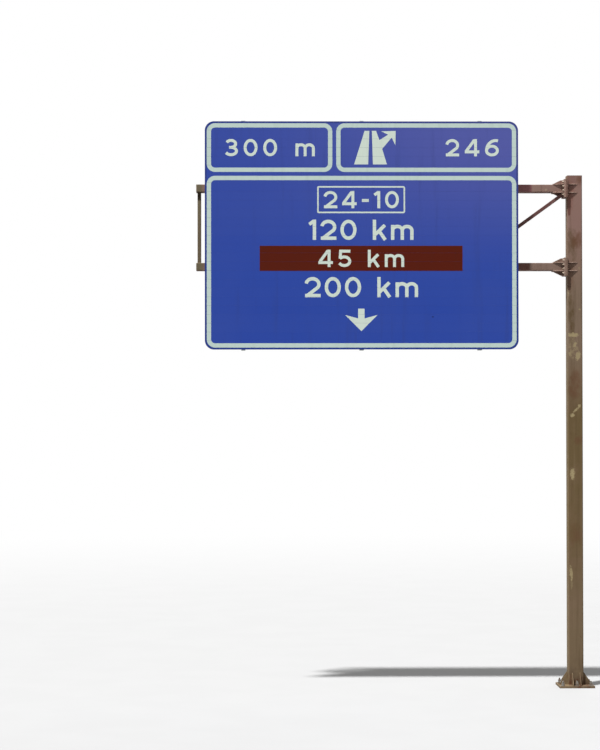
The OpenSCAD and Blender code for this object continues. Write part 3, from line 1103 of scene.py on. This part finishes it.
def figures(words, centre, top, height, spacing):
    """Stroke polygons of a row of figures, centred on a place along the board."""
    widths = [FIGURES[letter][0] for letter in words]
    total = (sum(widths) + spacing * (len(words) - 1)) * height
    left = centre - total / 2
    polygons = []
    for letter, width in zip(words, widths):
        for path in FIGURES[letter][1]:
            placed = [(left + u * height, top + v * height) for u, v in path]
            loop = math.dist(placed[0], placed[-1]) < 1e-3
            polygons += stroke(placed[:-1] if loop else placed, PEN * height, loop)
        left += (width + spacing) * height
    return polygons


# Layout of the board
TOP_PANEL = 1050
PANEL_SPLIT = 2580
FRAME_INSET = 39
FRAME_BAND = 86
FRAME_RADIUS = 165
ARROW_CENTRE = 3115
BROWN_PANEL = rectangle(1091, 2483, 5135, 2986)
BLEMISH = arc(4540, 3900, 14, 14, 0, 330, 11)
# Box round the second row of figures: its path, corner radius and width
NUMBER_BOX = (2253, 1308, 3976, 1818, 20)
NUMBER_BOX_WIDTH = 30
# Exit pictogram
ROAD = [(3185, 190), (3280, 190), (3255, 860), (2975, 860)]
EXIT_LANE = [
    (3330, 190), (3415, 190), (3480, 375), (3655, 265), (3515, 200), (3805, 190),
    (3800, 480), (3725, 325), (3535, 550), (3630, 860), (3350, 860),
]
# Lane arrow, across from its centre
ARROW = [(-64, 3738), (64, 3738), (64, 3932), (323, 3862), (0, 4185), (-323, 3862), (-64, 3932)]
# Rows of figures: text, middle, top, height, and spacing as a share of the height
WHITE_ROWS = [
    ("300 m", 1292, 353, 345, 0.33),
    ("246", 5330, 353, 345, 0.33),
    ("24-10", ARROW_CENTRE, 1390, 345, 0.28),
    ("120 km", ARROW_CENTRE, 1963, 403, 0.20),
    ("200 km", ARROW_CENTRE, 3106, 403, 0.20),
]
PANEL_ROW = ("45 km", ARROW_CENTRE, 2562, 345, 0.28)


def frames():
    """White borders of the three panels."""
    width, height = board_width / MM, board_height / MM
    inset = FRAME_INSET + FRAME_BAND / 2
    polygons = []
    for left, top, right, bottom in (
        (0, 0, PANEL_SPLIT, TOP_PANEL), (PANEL_SPLIT, 0, width, TOP_PANEL), (0, TOP_PANEL, width, height),
    ):
        sides = (left + inset, top + inset, right - inset, bottom - inset)
        polygons += stroke(rounded(*sides, FRAME_RADIUS - FRAME_BAND / 2), FRAME_BAND, closed=True)
    return polygons


def symbols():
    """Exit pictogram, lane arrow and the box round the second row of figures."""
    arrow = [(ARROW_CENTRE + u, v) for u, v in ARROW]
    return [ROAD, EXIT_LANE, arrow] + stroke(rounded(*NUMBER_BOX), NUMBER_BOX_WIDTH, closed=True)


def make_graphics(white, bright, brown, dark):
    film("panel_frames", frames(), white)
    film("pictograms", symbols(), bright)
    film("brown_panel", [BROWN_PANEL], brown)
    film("white_figures", [polygon for row in WHITE_ROWS for polygon in figures(*row)], bright)
    film("panel_figures", figures(*PANEL_ROW), bright, UPPER_FILM)
    film("blemish", [BLEMISH], dark, MARK)


# Stage

# Camera: place, turn to the left, tilt up and roll in degrees, and lens for a 36 mm high sensor
CAMERA_PLACE = (-6.231, -45.194, 5.506)
CAMERA_TURN = -0.9
CAMERA_TILT = 0.950
CAMERA_ROLL = -0.063
CAMERA_LENS = 108.0
# Each sun: elevation, angle left of the sign's normal, strength and how wide it looks in the sky
SUNS = {"main_light": (66.0, 44.0, 5.2, 3.5), "back_light": (30.0, 205.0, 0.8, 60.0)}
SKY_STRENGTH = 0.36
FLOOR_SIZE = 240.0
FLOOR_FADE = (14.0, 60.0)
# Grey of the floor as it is seen, and as it throws light up at the gantry
FLOOR_SEEN = 0.46
FLOOR_BOUNCE = 0.22


def make_camera():
    data = bpy.data.cameras.new("camera")
    data.sensor_fit = "VERTICAL"
    data.sensor_height = 36.0
    data.lens = CAMERA_LENS
    data.clip_end = 500.0
    camera = in_scene("camera", data)
    matrix = Matrix.Translation(CAMERA_PLACE)
    for angle, axis in ((CAMERA_TURN, "Z"), (90 + CAMERA_TILT, "X"), (CAMERA_ROLL, "Z")):
        matrix @= Matrix.Rotation(math.radians(angle), 4, axis)
    camera.matrix_world = matrix
    bpy.context.scene.camera = camera


def make_lights():
    for name, (elevation, azimuth, strength, width) in SUNS.items():
        data = bpy.data.lights.new(name, "SUN")
        data.energy = strength
        data.angle = math.radians(width)
        turned = (math.radians(90 - elevation), 0, math.radians(-azimuth))
        in_scene(name, data).rotation_euler = turned
    world = bpy.data.worlds.new("studio")
    bpy.context.scene.world = world
    tree = Tree(world)
    fill = tree.nodes["Background"]
    tree.feed(WHITE, fill.inputs["Color"])
    tree.feed(SKY_STRENGTH, fill.inputs["Strength"])
    backdrop = tree.node("Background", {"Color": WHITE, "Strength": 1.0})[0]
    sky = tree.node("MixShader", {0: tree.seen_by_eye(), 1: fill.outputs[0], 2: backdrop})[0]
    tree.feed(sky, tree.nodes["World Output"].inputs[0])


def make_floor():
    """Pale floor that fades into the white background far from the gantry."""
    mesh = bpy.data.meshes.new("floor")
    half = FLOOR_SIZE / 2
    mesh.from_pydata([(x, y, 0) for x, y in rectangle(-half, -half, half, half)], [], [(0, 1, 2, 3)])
    floor = in_scene("floor", mesh)
    look = Look("pale_floor")
    mottle = look.ramp(look.noise(0.7, 4, 0.5), 0.3, 0.7)
    seen = look.seen_by_eye()
    grey = look.times(look.ramp(seen, 0, 1, FLOOR_BOUNCE, FLOOR_SEEN), look.ramp(mottle, 0, 1, 0.985, 1.0))
    look.colour = look.node("CombineColor", {0: grey, 1: grey, 2: grey})[0]
    look.finish(0.9, specular=0.0)
    glow = look.node("Emission", {"Color": WHITE, "Strength": 1.0})[0]
    distance = look.node("VectorMath", {0: look.place}, operation="LENGTH")["Value"]
    far = look.times(look.ramp(distance, *FLOOR_FADE), seen)
    faded = look.node("MixShader", {0: far, 1: look.shader.outputs[0], 2: glow})[0]
    look.feed(faded, look.nodes["Material Output"].inputs[0])
    mesh.materials.append(look.material)


# Assembly

# Angles beyond which an edge stays sharp, in degrees
FASTENER_EDGE = 35
BEAD_EDGE = 60


# Endings of the CAD nodes' names that tell their finish. All other nodes have the arm's paint.
ENDINGS = {
    "slat": "_slats",
    "zinc": ("_support", "_brackets"),
    "joint": "_column_flange",
    "plate": ("_stiffeners", "_arm_gussets", "_arm_flange"),
    "column": ("base_plate", "base_gussets", "column", "column_cap"),
    "lattice": ("_verticals", "_diagonals"),
}


def finish_of(node):
    """Name of the finish that belongs to a CAD node."""
    found = [finish for finish, endings in ENDINGS.items() if node.endswith(endings)]
    return found[0] if found else "arm"


# The plates get strong pale edges, partly edge wear and partly a painted highlight
plate_wear_and_highlight = {"wear_and_highlight": 1.0, "edge_width": 0.014, "edge_colour": "d4baa8"}
finishes = {
    "column": column_paint(),
    "joint": arm_paint("joint_paint", "785c51", "664a41"),
    "arm": arm_paint("arm_paint", "93776d", "84685e"),
    "plate": arm_paint("plate_paint", "94766b", "84665b", **plate_wear_and_highlight),
    # The lattice paint is darker than the arm's: painted shade
    "lattice": arm_paint("lattice_paint", "7c5a55", "6a4a46", LATTICE_PAINTED_SHADOW),
    "zinc": zinc("galvanised_section", "8e9393", "b0b4b2", 60.0),
    "slat": slat_finish(),
}
for node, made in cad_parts.items():
    made.data.materials.clear()
    made.data.materials.append(finishes[finish_of(node)])
    for polygon in made.data.polygons:
        polygon.material_index = 0
steel = fastener_finish("fastener_steel", "787670", "96948c", 0.85)
bright_steel = fastener_finish("bright_steel", "b4a494", "cebeac", 0.45)
# Dark steel for the bolt heads at the column: painted over like the column, and darkened as painted shade
# of the level plates
dark_head_steel = fastener_finish("dark_head_steel", "624c42", "765e52", 0.85)
clamp_metal = zinc("clamp_aluminium", "a4a7a6", "b8bab8", 120.0)
bpy.context.scene.view_settings.view_transform = "Standard"
make_camera()
make_lights()
make_floor()
for level in ("upper", "lower"):
    heads, nuts = flange_bolts(level)
    heads.make(level + "_flange_bolts", dark_head_steel, "column_paint", FASTENER_EDGE)
    nuts.make(level + "_flange_nuts", bright_steel, "galvanised_section", FASTENER_EDGE)
    column_welds(level).make(level + "_column_welds", finishes["joint"], "column_paint", BEAD_EDGE)
    arm_joint_welds(level).make(level + "_arm_welds", finishes["arm"], "arm_paint", BEAD_EDGE)
for side in ("front", "rear"):
    beads = lattice_welds(side)
    beads.make(side + "_lattice_welds", finishes["lattice"], "arm_paint", BEAD_EDGE)
anchor_bolts().make("anchor_bolts", steel, "galvanised_section", FASTENER_EDGE)
base_welds().make("base_welds", finishes["column"], "column_paint", BEAD_EDGE)
bracket_welds().make("bracket_welds", finishes["zinc"], "galvanised_section", BEAD_EDGE)
for support in SUPPORTS:
    place = support.split("_")[0]
    bracket_bolts(support).make(place + "_bracket_bolts", steel, "galvanised_section", FASTENER_EDGE)
    slat_clamps(support).make(place + "_slat_clamps", clamp_metal, "galvanised_section", FASTENER_EDGE)
make_graphics(
    film_finish("white_film", "c7dad2", "b3c6be", "6e7a8c"),
    film_finish("symbol_film", "d7e4d8", "c8d4ca", "6e7a8c"),
    film_finish("brown_film", "561806", "4e1a0a", "2e140e"),
    film_finish("dark_mark", "1e223c", "181c32", "141628"),
)
